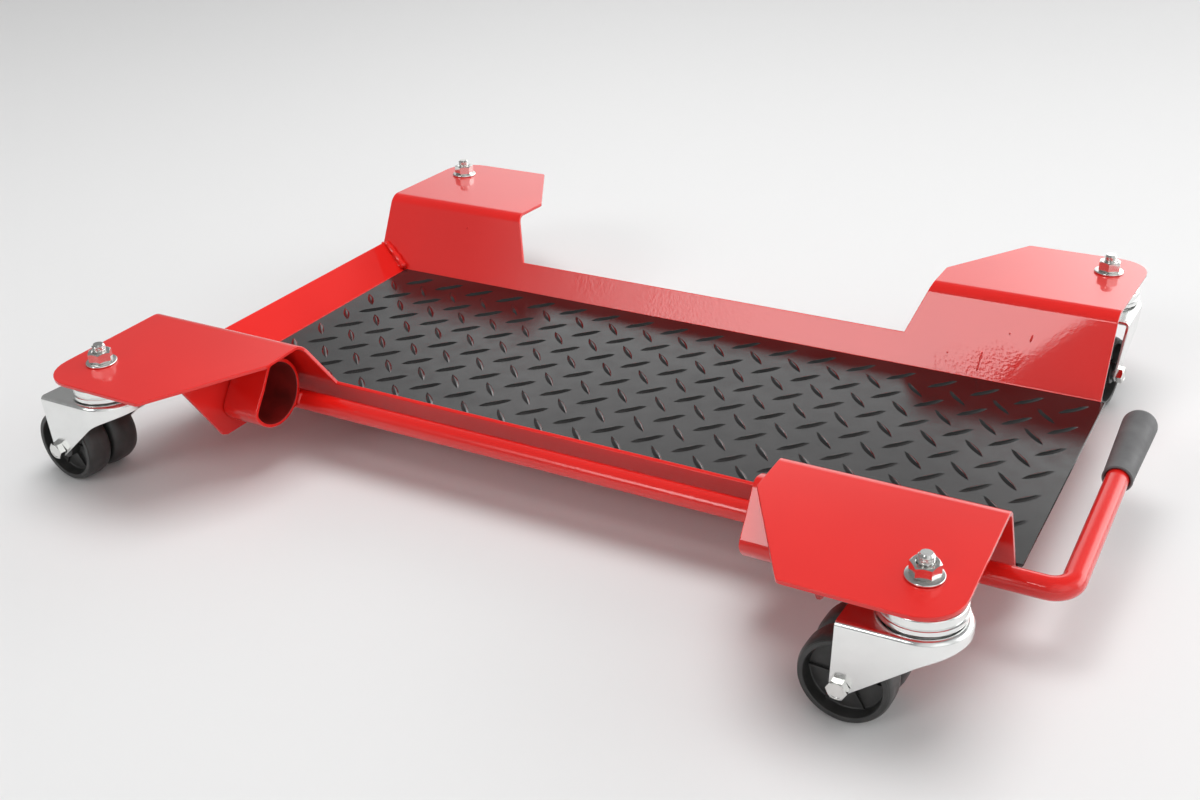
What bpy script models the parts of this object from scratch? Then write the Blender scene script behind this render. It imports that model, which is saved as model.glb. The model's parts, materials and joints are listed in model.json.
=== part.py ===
"""Low rolling dolly: a folded sheet-steel tray on four twin-wheel swivel castors.

A cranked lever along the front turns two flattened tubes against the floor to park it.
Metres, +Z up, +X to the lever end, +Y to the back.  The origin is on the floor,
under the middle of the whole object.
"""
import math

import bmesh
import bpy
from mathutils import Matrix, Vector

# ---- driving dimensions -------------------------------------------------------------
GAP = 0.0003                  # clearance between pieces that touch
WELD_GAP = 0.0005             # clearance beside the tray's bends, where plates are welded
PLAY = 0.0005                 # radial clearance of a bolt or axle in its hole
CUT_MARGIN = 0.010            # how far a cutting tool reaches past what it cuts

TRAY_HALF = 0.350             # half the tray's length, at the walls
TRAY_FLARE = 0.0033           # extra length at the shelves' outer corners
SHEET = 0.003                 # sheet thickness of the tray, gussets and end plate
FLOOR_Z = 0.0407              # top of the tray's floor
FLOOR_Y = 0.1258              # half width where floor and wall planes meet
SHELF_Z = 0.1050              # top of a shelf at its bend
BEND_Y = 0.1590               # half width where wall and shelf planes meet
OUTER_Y = 0.2863              # half width over the shelves
SHELF_SLOPE = 0.0333          # the shelves fall towards their outer edges
FLOOR_BEND_R = 0.005
SHELF_BEND_R = 0.0133
SHELF_X = 0.2012              # inner end of a shelf at its bend
SHELF_CHAMFER = (0.2007, 0.2000)    # where the shelf's inner end starts to slant (x, y)
SHELF_SLANT_X = 0.2497        # inner end of the shelf's outer edge
CORNER_R = 0.028              # outer corner of a shelf
SLANT_CORNER_R = 0.004        # corner between the slant and the outer edge
CHAMFER_CORNER_R = 0.006      # corner where the slant starts
LIP_Z = 0.0663                # top of the low wall between the shelves
LIP_X = 0.1864                # where the low wall ends and the slanted end starts

MAT_THICKNESS = 0.0029
MAT_X = (-0.3155, 0.354)
MAT_HALF_WIDTH = 0.1232
MAT_FLARE = 0.0015            # the mat's edges lean out with the walls

END_FOOT_X = -0.3176          # end plate, where it stands on the floor
END_TOP = (-0.3480, 0.0633)   # its top edge (x, z)
END_SIDE_MARGIN = 0.0022      # between the end plate and each wall

GUSSET_X = 0.2470             # inner face of a gusset
GUSSET_OUTER_Y = 0.2490       # where its outer edge meets the shelf
GUSSET_TIP = (0.2110, 0.0365)       # lowest outer corner (y, z)
GUSSET_TIP_CUT = (0.0050, 0.0022)   # how much of that corner is cut off (y, z)
GUSSET_INNER_Y = 0.1340       # inner end of the gusset's bottom edge
GUSSET_BEND_CUT = 0.0115      # cut off beside the bend of wall and shelf
GUSSET_FLOOR_CUT = 0.0012     # and beside the bend of wall and floor

BAR_R = 0.008
BAR_Y = -0.152
BAR_Z = 0.050
BAR_END_X = -0.2580
BAR_CLEARANCE = 0.0004        # round the bar in the gussets' holes
LEVER_X = 0.388               # the lever's arm lies in this plane
LEVER_RISE = 3.0              # degrees above level, at rest
ELBOW_R = 0.0145              # centre-line radius of the elbow
GRIP_START = 0.138            # along the arm, from the bar's axis
GRIP_LENGTH = 0.086
GRIP_BASE_R = 0.0103
GRIP_TIP_R = 0.0125
GRIP_MOUTH_ROUND = (0.0008, 0.0012)   # rounding of the sleeve's mouth (radius, length)
GRIP_DOME = 0.0085            # length of the domed end
ARM_IN_GRIP = 0.062

TUBE_R = 0.0277               # parking tube, outside
TUBE_WALL = 0.003
TUBE_FLAT = 0.0170            # from the tube's centre to its flat
TUBE_STARTS = {"left": -0.2464, "right": 0.1918}    # end nearer the end plate (x)
TUBE_LENGTH = 0.0334
TUBE_ANGLE = 147.0            # degrees from +Y towards +Z, bar to tube centre
TUBE_OFFSET = TUBE_R + BAR_R + GAP

CASTOR_X = 0.3240
CASTOR_Y = 0.2480
TRAIL = 0.0365                # swivel axis to axle
WHEEL_R = 0.030
WHEEL_FACE = 0.0241           # castor's middle to a wheel's outer face
WHEEL_INNER = 0.0012          # half the gap between the two wheels
TREAD_CROWN = 0.0080          # the tread rounds off this far from each side
OUTER_EDGE_R = 0.0290         # tread's radius at the outer face
INNER_EDGE_R = 0.0270         # and in the groove between the wheels
RIM_R = 0.0248                # inside of the rim at the outer face
FACE_RECESS = 0.0085          # depth of the wheel's recessed face
HUB_R = 0.0090
AXLE_R = 0.003
AXLE_FLATS = 0.0105           # width across the head and the nut
AXLE_HEAD_FACE = 0.0325
AXLE_NUT_HEIGHT = 0.0050
AXLE_END = 0.0075             # the axle bolt stands out this far past the leg
FORK_TOP = 0.0778
FORK_SHEET = 0.0025
FORK_FRONT_R = 0.0298
FORK_REAR_X = -0.0400
FORK_HALF_WIDTH = 0.0330      # at the top
FORK_FOOT_HALF_WIDTH = 0.0283       # at the axle
FORK_EYE_R = 0.0066           # round end of a leg, about the axle
FORK_BACK_LEAN = 3.5          # degrees, a leg's rear edge
LEG_RISE = (0.0520, 0.0440)   # direction of a leg's lower edge (x, z)
LEG_STRAIGHT = 0.050          # length of its straight part
LEG_EASE = 0.010              # how far on the curve into the skirt is pulled
SKIRT_HEIGHT = 0.0105         # the fork's turned-down edge in front
RACE_R = 0.0269
RACE_BOTTOM = 0.0800
RACE_HOLLOW = 0.0058          # depth of the cup, from below
BALL_R = 0.0025
BALL_CIRCLE_R = 0.0185
BALL_COUNT = 8
BALL_RING = (0.0016, 0.0006)  # half width and half height of the retaining ring
BOLT_R = 0.005                # swivel bolt
BOLT_HEAD_R = 0.0085
BOLT_HEAD_HEIGHT = 0.0050
BOLT_TOP_Z = 0.1180
BOLT_TIP = 0.0010             # chamfer at the bolt's end
NUT_FLATS = 0.017
NUT_HEIGHT = 0.0080
NUT_TURN = 12.0               # degrees
WASHER_R = 0.0125
WASHER_THICKNESS = 0.0020

# name, side in x, side in y, turn of the castor about its swivel axis in degrees
CASTORS = (
    ("front_left", -1, -1, -3.2),
    ("front_right", 1, -1, -1.6),
    ("rear_left", -1, 1, 25.0),
    ("rear_right", 1, 1, 84.0),
)

WALL_LEAN = (BEND_Y - FLOOR_Y) / (SHELF_Z - FLOOR_Z)
SHELF_TILT = math.atan(SHELF_SLOPE)
CASTOR_SHELF_Z = SHELF_Z - SHELF_SLOPE * (CASTOR_Y - BEND_Y)

# the rear left castor stands out furthest on the left, and the grip on the right
REAR_LEFT_TURN = math.radians(CASTORS[2][3])
REACH_LEFT = (CASTOR_X + (TRAIL + OUTER_EDGE_R) * math.cos(REAR_LEFT_TURN)
              + WHEEL_FACE * math.sin(REAR_LEFT_TURN))
REACH_RIGHT = LEVER_X + GRIP_TIP_R
TRAY_X = (REACH_LEFT - REACH_RIGHT) / 2

RED = ("red_paint", (0.72, 0.02, 0.015), 0.22, 0.0)
ZINC = ("zinc_plate", (0.72, 0.74, 0.76), 0.28, 1.0)
BLACK_PLASTIC = ("wheel_plastic", (0.03, 0.03, 0.03), 0.45, 0.0)
MAT_RUBBER = ("mat_rubber", (0.045, 0.045, 0.048), 0.35, 0.0)
GRIP_RUBBER = ("grip_rubber", (0.10, 0.10, 0.10), 0.6, 0.0)


# ---- helpers ------------------------------------------------------------------------
def clear_scene():
    for item in list(bpy.data.objects):
        bpy.data.objects.remove(item, do_unlink=True)


def material(slot):
    name, colour, roughness, metallic = slot
    found = bpy.data.materials.get(name)
    if found:
        return found
    made = bpy.data.materials.new(name)
    made.use_nodes = True
    shader = made.node_tree.nodes["Principled BSDF"]
    shader.inputs["Base Color"].default_value = (*colour, 1.0)
    shader.inputs["Roughness"].default_value = roughness
    shader.inputs["Metallic"].default_value = metallic
    return made


def add_empty(name, location, parent=None, turn_z=0.0):
    empty = bpy.data.objects.new(name, None)
    empty.location = location
    empty.rotation_euler = (0.0, 0.0, turn_z)
    empty.parent = parent
    bpy.context.scene.collection.objects.link(empty)
    return empty


def add_object(name, data, slot, parent):
    mesh = bpy.data.meshes.new(name)
    bmesh.ops.recalc_face_normals(data, faces=data.faces)
    data.to_mesh(mesh)
    data.free()
    mesh.materials.append(material(slot))
    mesh.shade_smooth()
    mesh.set_sharp_from_angle(angle=math.radians(32.0))
    made = bpy.data.objects.new(name, mesh)
    made.parent = parent
    bpy.context.scene.collection.objects.link(made)
    return made


def combine(target, tool, operation):
    """Boolean of target with a tool object, which is hidden."""
    tool.hide_render = True
    tool.display_type = "WIRE"
    modifier = target.modifiers.new(operation.lower(), "BOOLEAN")
    modifier.operation = operation
    modifier.solver = "EXACT"
    modifier.object = tool


def skin(data, rings, closed):
    """Join rings of vertices in order: round to the first if closed, else with end caps."""
    pairs = list(zip(rings, rings[1:]))
    if closed:
        pairs.append((rings[-1], rings[0]))
    else:
        data.faces.new(rings[0])
        data.faces.new(rings[-1])
    for ring, following in pairs:
        for step in range(len(ring)):
            after = (step + 1) % len(ring)
            data.faces.new((ring[step], ring[after], following[after], following[step]))
    return data


def round_outline(points, radii, steps=6):
    """A closed outline with each corner replaced by an arc of its radius."""
    outline = []
    count = len(points)
    for index, (corner, radius) in enumerate(zip(points, radii)):
        here = Vector(corner)
        if radius == 0.0:
            outline.append(here)
            continue
        back = (Vector(points[index - 1]) - here).normalized()
        ahead = (Vector(points[(index + 1) % count]) - here).normalized()
        half = back.angle(ahead) / 2
        centre = here + (back + ahead).normalized() * radius / math.sin(half)
        start = here + back * radius / math.tan(half) - centre
        turn = math.pi - 2 * half
        if back.x * ahead.y - back.y * ahead.x > 0:
            turn = -turn
        for step in range(steps + 1):
            outline.append(centre + start @ Matrix.Rotation(-turn * step / steps, 2))
    return outline


def prism(outline, place, low, high):
    """Extrude a 2-D outline; place(u, v, w) puts a point in space, w from low to high."""
    data = bmesh.new()
    rings = [[data.verts.new(place(u, v, w)) for u, v in outline] for w in (low, high)]
    return skin(data, rings, False)


def along_x(u, v, w):
    return w, u, v


def along_y(u, v, w):
    return u, w, v


def along_z(u, v, w):
    return u, v, w


def hex_reach(angle):
    """Reach of a hexagon of half width 1, at an angle from one of its corners."""
    from_corner = abs((angle + math.pi / 6) % (math.pi / 3) - math.pi / 6)
    return 1.0 / math.cos(math.pi / 6 - from_corner)


def turned(profile, segments, closed, place=Matrix(), data=None, hexed=()):
    """Turn (radius, height) points about Z; the points numbered in hexed make hexagons."""
    data = data or bmesh.new()
    rings = []
    for index, (radius, height) in enumerate(profile):
        ring = []
        for step in range(segments):
            angle = math.tau * step / segments
            reach = radius * (hex_reach(angle) if index in hexed else 1.0)
            point = Vector((reach * math.cos(angle), reach * math.sin(angle), height))
            ring.append(data.verts.new(place @ point))
        rings.append(ring)
    return skin(data, rings, closed)


def hex_nut(flats, height, bore_r, place):
    """A hexagonal nut with chamfered corners, standing on z = 0."""
    half = flats / 2
    chamfer = half * 0.085
    face = half * 0.985
    profile = [(bore_r, 0.0), (face, 0.0), (half, chamfer),
               (half, height - chamfer), (face, height), (bore_r, height)]
    return turned(profile, 12, True, place, hexed=(2, 3))


# ---- tray ---------------------------------------------------------------------------
def wall_y(height):
    """Half width between the walls' inner planes at a height."""
    return FLOOR_Y + WALL_LEAN * (height - FLOOR_Z)


def shelf_top(y):
    return SHELF_Z - SHELF_SLOPE * (y - BEND_Y)


def sheet_section():
    """Closed (y, z) outline of the folded sheet, wider than the tray it is trimmed to."""
    outer = OUTER_Y + CUT_MARGIN
    corners = [Vector(point) for point in (
        (-outer, shelf_top(outer)), (-BEND_Y, SHELF_Z), (-FLOOR_Y, FLOOR_Z),
        (FLOOR_Y, FLOOR_Z), (BEND_Y, SHELF_Z), (outer, shelf_top(outer)))]
    radii = (SHELF_BEND_R, FLOOR_BEND_R, FLOOR_BEND_R, SHELF_BEND_R)
    steps = 6
    upper = [(corners[0], (corners[1] - corners[0]).orthogonal().normalized())]
    for index, radius in enumerate(radii, start=1):
        before = (corners[index] - corners[index - 1]).normalized()
        after = (corners[index + 1] - corners[index]).normalized()
        turn = -before.angle_signed(after)
        normal = before.orthogonal()
        side = math.copysign(radius, turn)
        tangent = corners[index] - before * radius * math.tan(abs(turn) / 2)
        centre = tangent + normal * side
        for step in range(steps + 1):
            facing = Matrix.Rotation(turn * step / steps, 2) @ normal
            upper.append((centre - facing * side, facing))
    upper.append((corners[-1], (corners[-1] - corners[-2]).orthogonal().normalized()))
    lower = [point - facing * SHEET for point, facing in upper]
    return [point for point, _ in upper] + lower[::-1]


def plan_outline():
    """Outline of the tray seen from above, shelves with slanted inner ends."""
    quarter = [(TRAY_HALF, BEND_Y, 0.0), (TRAY_HALF + TRAY_FLARE, OUTER_Y, CORNER_R),
               (SHELF_SLANT_X, OUTER_Y, SLANT_CORNER_R), (*SHELF_CHAMFER, CHAMFER_CORNER_R)]
    corners = list(quarter)
    corners += [(-x, y, r) for x, y, r in reversed(quarter)]
    corners += [(-x, -y, r) for x, y, r in quarter]
    corners += [(x, -y, r) for x, y, r in reversed(quarter)]
    return round_outline([(x, y) for x, y, _ in corners], [r for _, _, r in corners])


def notch_outline():
    """(x, z) outline of what is cut from each wall between the shelves."""
    high = SHELF_Z + CUT_MARGIN
    spread = (SHELF_X - LIP_X) / (SHELF_Z - LIP_Z) * (high - LIP_Z)
    return [(-LIP_X, LIP_Z), (LIP_X, LIP_Z), (LIP_X + spread, high), (-LIP_X - spread, high)]


def build_tray(root):
    reach = TRAY_HALF + CUT_MARGIN
    pan = add_object("tray_pan", prism(sheet_section(), along_x, -reach, reach), RED, root)
    plan = prism(plan_outline(), along_z, 0.0, SHELF_Z + CUT_MARGIN)
    combine(pan, add_object("tray_plan_tool", plan, RED, root), "INTERSECT")
    across = OUTER_Y + CUT_MARGIN
    notch = prism(notch_outline(), along_y, -across, across)
    combine(pan, add_object("tray_notch_tool", notch, RED, root), "DIFFERENCE")
    hole = [(BOLT_R + PLAY, CASTOR_SHELF_Z + side * CUT_MARGIN) for side in (-1, 1)]
    holes = bmesh.new()
    for _, side_x, side_y, _ in CASTORS:
        place = Matrix.Translation((side_x * CASTOR_X, side_y * CASTOR_Y, 0.0))
        turned(hole, 20, False, place, holes)
    combine(pan, add_object("tray_hole_tool", holes, RED, root), "DIFFERENCE")


def build_end_plate(root):
    """Leaning plate that closes the left end, between the walls."""
    foot = Vector((END_FOOT_X, FLOOR_Z + GAP))
    top = Vector(END_TOP)
    along = (top - foot).normalized()
    inward = Vector((-along.y, along.x))
    level = Vector((-SHEET / along.y, 0.0))
    section = [foot, top, top + inward * SHEET, foot + level]
    data = bmesh.new()
    sides = [[data.verts.new((x, side * (wall_y(z) - END_SIDE_MARGIN), z)) for x, z in section]
             for side in (-1, 1)]
    add_object("end_plate", skin(data, sides, False), RED, root)


def build_mat(root):
    low = FLOOR_Z + GAP
    high = low + MAT_THICKNESS
    wide = MAT_HALF_WIDTH + MAT_FLARE
    section = [(-MAT_HALF_WIDTH, low), (MAT_HALF_WIDTH, low), (wide, high), (-wide, high)]
    add_object("tread_mat", prism(section, along_x, *MAT_X), MAT_RUBBER, root)


def gusset_outline():
    """(y, z) outline of a gusset at the back, fitted under wall and shelf."""
    under = SHEET + WELD_GAP
    beside = under * math.hypot(1.0, WALL_LEAN)
    shelf_y = BEND_Y + GUSSET_BEND_CUT
    wall_z = SHELF_Z - GUSSET_BEND_CUT
    tip_y, tip_z = GUSSET_TIP
    cut_y, cut_z = GUSSET_TIP_CUT
    return [
        (GUSSET_OUTER_Y, shelf_top(GUSSET_OUTER_Y) - under),
        (shelf_y, shelf_top(shelf_y) - under),
        (wall_y(wall_z) + beside, wall_z),
        (FLOOR_Y + beside + GUSSET_FLOOR_CUT, FLOOR_Z),
        (GUSSET_INNER_Y, tip_z),
        (tip_y - cut_y, tip_z),
        (tip_y, tip_z + cut_z),
    ]


def build_gussets(root):
    """A plate under each shelf; the front ones have holes for the bar."""
    outline = gusset_outline()
    bar = Matrix.Translation((0.0, BAR_Y, BAR_Z)) @ Matrix.Rotation(math.pi / 2, 4, "Y")
    hole = [(BAR_R + BAR_CLEARANCE, side * TRAY_HALF) for side in (-1, 1)]
    for name, side_x, side_y, _ in CASTORS:
        low, high = sorted((side_x * GUSSET_X, side_x * (GUSSET_X + SHEET)))
        points = [(side_y * y, z) for y, z in outline]
        plate = add_object("gusset_" + name, prism(points, along_x, low, high), RED, root)
        if side_y < 0:
            tool = add_object("hole_tool_" + name, turned(hole, 32, False, bar), RED, root)
            combine(plate, tool, "DIFFERENCE")


# ---- lever --------------------------------------------------------------------------
def arm_direction():
    rise = math.radians(LEVER_RISE)
    return Vector((0.0, math.cos(rise), math.sin(rise)))


def build_bar(lever):
    """Round bar along the front, bent through a right angle into the lever's arm."""
    arm = arm_direction()
    along = Vector((1.0, 0.0, 0.0))
    normal = along.cross(arm)
    corner = Vector((LEVER_X, 0.0, 0.0))
    centre = corner + (arm - along) * ELBOW_R
    stations = [(Vector((BAR_END_X, 0.0, 0.0)), along)]
    steps = 8
    for step in range(steps + 1):
        angle = math.pi / 2 * step / steps
        facing = along * math.cos(angle) + arm * math.sin(angle)
        outward = along * math.sin(angle) - arm * math.cos(angle)
        stations.append((centre + outward * ELBOW_R, facing))
    stations.append((corner + arm * (GRIP_START + ARM_IN_GRIP), arm))
    segments = 20
    angles = [math.tau * step / segments for step in range(segments)]
    data = bmesh.new()
    rings = []
    for point, facing in stations:
        side = facing.cross(normal)
        rings.append([data.verts.new(point + (normal * math.cos(a) + side * math.sin(a)) * BAR_R)
                      for a in angles])
    add_object("lever_bar", skin(data, rings, False), RED, lever)


def build_grip(lever):
    """Tapered rubber sleeve with a domed closed end, over the end of the arm."""
    arm = arm_direction()
    turn = Vector((0.0, 0.0, 1.0)).rotation_difference(arm).to_matrix().to_4x4()
    place = Matrix.Translation(Vector((LEVER_X, 0.0, 0.0)) + arm * GRIP_START) @ turn
    bore_r = BAR_R + GAP
    round_r, round_length = GRIP_MOUTH_ROUND
    dome_start = GRIP_LENGTH - GRIP_DOME
    profile = [(bore_r, ARM_IN_GRIP + PLAY), (bore_r, 0.0), (GRIP_BASE_R - round_r, 0.0),
               (GRIP_BASE_R, round_length)]
    steps = 5
    for step in range(steps):
        angle = math.pi / 2 * step / steps
        profile.append((GRIP_TIP_R * math.cos(angle), dome_start + GRIP_DOME * math.sin(angle)))
    add_object("lever_grip", turned(profile, 24, False, place), GRIP_RUBBER, lever)


def flattened_circle(radius, flat, facing, steps=30):
    """A circle cut by a chord at distance flat from its middle, in the given direction."""
    half = math.acos(flat / radius)
    angles = [half + (math.tau - 2 * half) * step / steps for step in range(steps + 1)]
    return [(radius * math.cos(facing + a), radius * math.sin(facing + a)) for a in angles]


def build_parking_tubes(lever):
    """Two short tubes on the bar, each pressed flat on the side away from the bar."""
    facing = math.radians(TUBE_ANGLE)
    middle = Vector((math.cos(facing), math.sin(facing))) * TUBE_OFFSET
    outer = flattened_circle(TUBE_R, TUBE_FLAT, facing)
    inner = flattened_circle(TUBE_R - TUBE_WALL, TUBE_FLAT - TUBE_WALL, facing)
    for name, low in TUBE_STARTS.items():
        high = low + TUBE_LENGTH
        data = bmesh.new()
        rings = [[data.verts.new((x, middle.x + y, middle.y + z)) for y, z in outline]
                 for outline, x in ((outer, low), (outer, high), (inner, high), (inner, low))]
        add_object("parking_tube_" + name, skin(data, rings, True), RED, lever)


# ---- castors ------------------------------------------------------------------------
def build_swivel_bolt(name, mount):
    """Round-headed bolt from under the fork up through the bearing and the shelf."""
    seat = FORK_TOP - FORK_SHEET - GAP
    profile = [(BOLT_HEAD_R - 0.0020, seat - BOLT_HEAD_HEIGHT),
               (BOLT_HEAD_R - 0.0003, seat - BOLT_HEAD_HEIGHT + 0.0014), (BOLT_HEAD_R, seat),
               (BOLT_R, seat), (BOLT_R, BOLT_TOP_Z - BOLT_TIP), (BOLT_R - BOLT_TIP, BOLT_TOP_Z)]
    add_object("swivel_bolt_" + name, turned(profile, 16, False), ZINC, mount)


def build_upper_race(name, mount, side_y):
    """Deep bearing cup, fixed under the sloping shelf and open below."""
    under = CASTOR_SHELF_Z - SHEET - WELD_GAP
    bore = BOLT_R + PLAY
    hollow = RACE_BOTTOM + RACE_HOLLOW
    profile = [(bore, under), (RACE_R - 0.0029, under), (RACE_R - 0.0023, RACE_BOTTOM + 0.0112),
               (RACE_R - 0.0012, RACE_BOTTOM + 0.0085), (RACE_R, RACE_BOTTOM + 0.0060),
               (RACE_R, RACE_BOTTOM), (RACE_R - 0.0034, RACE_BOTTOM), (RACE_R - 0.0044, hollow),
               (bore, hollow)]
    data = turned(profile, 24, True)
    for vert in data.verts:
        if vert.co.z > under - GAP:
            vert.co.z -= SHELF_SLOPE * vert.co.y * side_y
    add_object("upper_race_" + name, data, ZINC, mount)


def build_lower_race(name, swivel):
    """Shallow dish on the fork that the balls run on."""
    low = FORK_TOP + GAP
    bore = BOLT_R + PLAY
    rim = BALL_CIRCLE_R + 0.0030
    profile = [(bore, low), (rim, low), (rim, low + 0.0018), (BALL_CIRCLE_R, low + 0.0008),
               (bore, low + 0.0014)]
    add_object("lower_race_" + name, turned(profile, 24, True), ZINC, swivel)


def build_balls(name, swivel):
    """Flat retaining ring with the bearing balls held in it, between the races."""
    height = FORK_TOP + GAP + 0.0008 + BALL_R + WELD_GAP
    half_width, half_height = BALL_RING
    low, high = height - half_height, height + half_height
    inside, outside = BALL_CIRCLE_R - half_width, BALL_CIRCLE_R + half_width
    ring = [(inside, low), (outside, low), (outside, high), (inside, high)]
    held = add_object("ball_ring_" + name, turned(ring, 24, True), ZINC, swivel)
    balls = bmesh.new()
    for index in range(BALL_COUNT):
        angle = math.tau * index / BALL_COUNT
        place = Matrix.Translation((BALL_CIRCLE_R * math.cos(angle),
                                    BALL_CIRCLE_R * math.sin(angle), height))
        bmesh.ops.create_icosphere(balls, subdivisions=1, radius=BALL_R, matrix=place)
    combine(held, add_object("ball_tool_" + name, balls, ZINC, swivel), "UNION")


def fork_plan(inset, past_rear):
    """Plan of the fork: straight sides from a round front, running past its rear edge."""
    radius = FORK_FRONT_R - inset
    rear = Vector((FORK_REAR_X, FORK_HALF_WIDTH - inset))
    touch = math.atan2(rear.y, rear.x) - math.acos(radius / rear.length)
    steps = 14
    angles = [touch * (1 - 2 * step / steps) for step in range(steps + 1)]
    arc = [(radius * math.cos(a), radius * math.sin(a)) for a in angles]
    end = rear + (rear - Vector(arc[0])).normalized() * past_rear
    return [(end.x, end.y)] + arc + [(end.x, -end.y)]


def fork_profile():
    """Side view (x, z) of the fork: a leg down to the axle and a low skirt in front."""
    over = FORK_TOP + CUT_MARGIN
    ahead = FORK_FRONT_R + CUT_MARGIN
    rise = Vector(LEG_RISE).normalized()
    away = Vector((rise.y, -rise.x))
    axle = Vector((-TRAIL, WHEEL_R))
    first = math.pi + math.radians(FORK_BACK_LEAN)
    last = math.atan2(away.y, away.x) + math.tau
    outline = [(FORK_REAR_X, over)]
    steps = 8
    for step in range(steps + 1):
        angle = first + (last - first) * step / steps
        eye = axle + Vector((math.cos(angle), math.sin(angle))) * FORK_EYE_R
        outline.append((eye.x, eye.y))
    line_end = axle + away * FORK_EYE_R + rise * LEG_STRAIGHT
    handle = line_end + rise * LEG_EASE
    skirt = Vector((ahead, FORK_TOP - SKIRT_HEIGHT))
    steps = 6
    for step in range(steps + 1):
        t = step / steps
        point = line_end * (1 - t) ** 2 + handle * 2 * t * (1 - t) + skirt * t * t
        outline.append((point.x, point.y))
    outline.append((ahead, over))
    return outline


def fork_block(plan, bottom, top):
    """Block under the fork's plan, narrowing towards the axle."""
    data = prism(plan, along_z, bottom, top)
    lean = (FORK_HALF_WIDTH - FORK_FOOT_HALF_WIDTH) / (FORK_TOP - WHEEL_R)
    for vert in data.verts:
        vert.co.y *= 1.0 - lean * (FORK_TOP - vert.co.z) / FORK_HALF_WIDTH
    return data


def build_fork(name, swivel):
    foot = WHEEL_R - CUT_MARGIN
    body = fork_block(fork_plan(0.0, CUT_MARGIN), foot, FORK_TOP)
    fork = add_object("fork_" + name, body, ZINC, swivel)
    inner_plan = fork_plan(FORK_SHEET, 2 * CUT_MARGIN)
    hollow = fork_block(inner_plan, foot - CUT_MARGIN, FORK_TOP - FORK_SHEET)
    combine(fork, add_object("fork_hollow_" + name, hollow, ZINC, swivel), "DIFFERENCE")
    half = FORK_HALF_WIDTH + CUT_MARGIN
    side = prism(fork_profile(), along_y, -half, half)
    combine(fork, add_object("fork_side_" + name, side, ZINC, swivel), "INTERSECT")
    holes = turned([(BOLT_R + PLAY, FORK_TOP + end * CUT_MARGIN) for end in (-1, 1)], 20, False)
    turned([(AXLE_R + PLAY, end * half) for end in (-1, 1)], 16, False, axle_place(), holes)
    combine(fork, add_object("fork_holes_" + name, holes, ZINC, swivel), "DIFFERENCE")


def axle_place():
    """Turns Z to the axle's direction, head towards -Y, at the axle's place in the fork."""
    return Matrix.Translation((-TRAIL, 0.0, WHEEL_R)) @ Matrix.Rotation(math.pi / 2, 4, "X")


def build_axle(name, swivel):
    """Hex-headed bolt through both legs and wheels, and its nut."""
    leg_face = FORK_FOOT_HALF_WIDTH + WELD_GAP
    half = AXLE_FLATS / 2
    profile = [(AXLE_R, -leg_face - AXLE_END), (AXLE_R, leg_face), (half, leg_face),
               (half, AXLE_HEAD_FACE - 0.0006), (half * 0.93, AXLE_HEAD_FACE)]
    bolt = turned(profile, 12, False, axle_place(), hexed=(2, 3))
    add_object("axle_bolt_" + name, bolt, ZINC, swivel)
    nut_at = Matrix.Translation((0.0, 0.0, -leg_face - AXLE_NUT_HEIGHT))
    nut = hex_nut(AXLE_FLATS, AXLE_NUT_HEIGHT, AXLE_R + PLAY, axle_place() @ nut_at)
    add_object("axle_nut_" + name, nut, ZINC, swivel)


def build_wheel(name, axle, side):
    """One wheel of the pair; its outer face is on the side given."""
    bore = AXLE_R + PLAY
    floor = WHEEL_FACE - FACE_RECESS
    profile = [(bore, WHEEL_INNER), (INNER_EDGE_R, WHEEL_INNER),
               ((INNER_EDGE_R + 3 * WHEEL_R) / 4, WHEEL_INNER + 0.0035),
               (WHEEL_R, WHEEL_INNER + TREAD_CROWN + 0.0015), (WHEEL_R, WHEEL_FACE - TREAD_CROWN),
               (OUTER_EDGE_R, WHEEL_FACE), (RIM_R, WHEEL_FACE), (RIM_R - 0.0008, floor),
               (HUB_R + 0.0005, floor), (HUB_R, WHEEL_FACE), (bore, WHEEL_FACE)]
    place = Matrix.Rotation(-side * math.pi / 2, 4, "X") @ Matrix.Rotation(math.pi / 2, 4, "Z")
    add_object(name, turned(profile, 24, True, place), BLACK_PLASTIC, axle)


def build_castor(root, name, side_x, side_y, turn):
    at = (side_x * CASTOR_X, side_y * CASTOR_Y, 0.0)
    mount = add_empty("mount_" + name, at, root)
    build_swivel_bolt(name, mount)
    build_upper_race(name, mount, side_y)
    swivel = add_empty("swivel_" + name, at, root, math.radians(turn))
    build_lower_race(name, swivel)
    build_balls(name, swivel)
    build_fork(name, swivel)
    build_axle(name, swivel)
    axle = add_empty("axle_" + name, (-TRAIL, 0.0, WHEEL_R), swivel)
    build_wheel("wheel_" + name + "_outer", axle, -1)
    build_wheel("wheel_" + name + "_inner", axle, 1)


def build_shelf_fasteners(root):
    """A nut and a washer on each shelf, square to the sloping sheet."""
    bore = BOLT_R + PLAY
    high = GAP + WASHER_THICKNESS
    ring = [(bore, GAP), (WASHER_R, GAP), (WASHER_R, high), (bore, high)]
    for name, side_x, side_y, turn in CASTORS:
        seat = (Matrix.Translation((side_x * CASTOR_X, side_y * CASTOR_Y, CASTOR_SHELF_Z))
                @ Matrix.Rotation(-side_y * SHELF_TILT, 4, "X"))
        add_object("washer_" + name, turned(ring, 24, True, seat), ZINC, root)
        nut_seat = (seat @ Matrix.Translation((0.0, 0.0, high + GAP))
                    @ Matrix.Rotation(math.radians(NUT_TURN + turn), 4, "Z"))
        add_object("nut_" + name, hex_nut(NUT_FLATS, NUT_HEIGHT, bore, nut_seat), ZINC, root)


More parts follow.
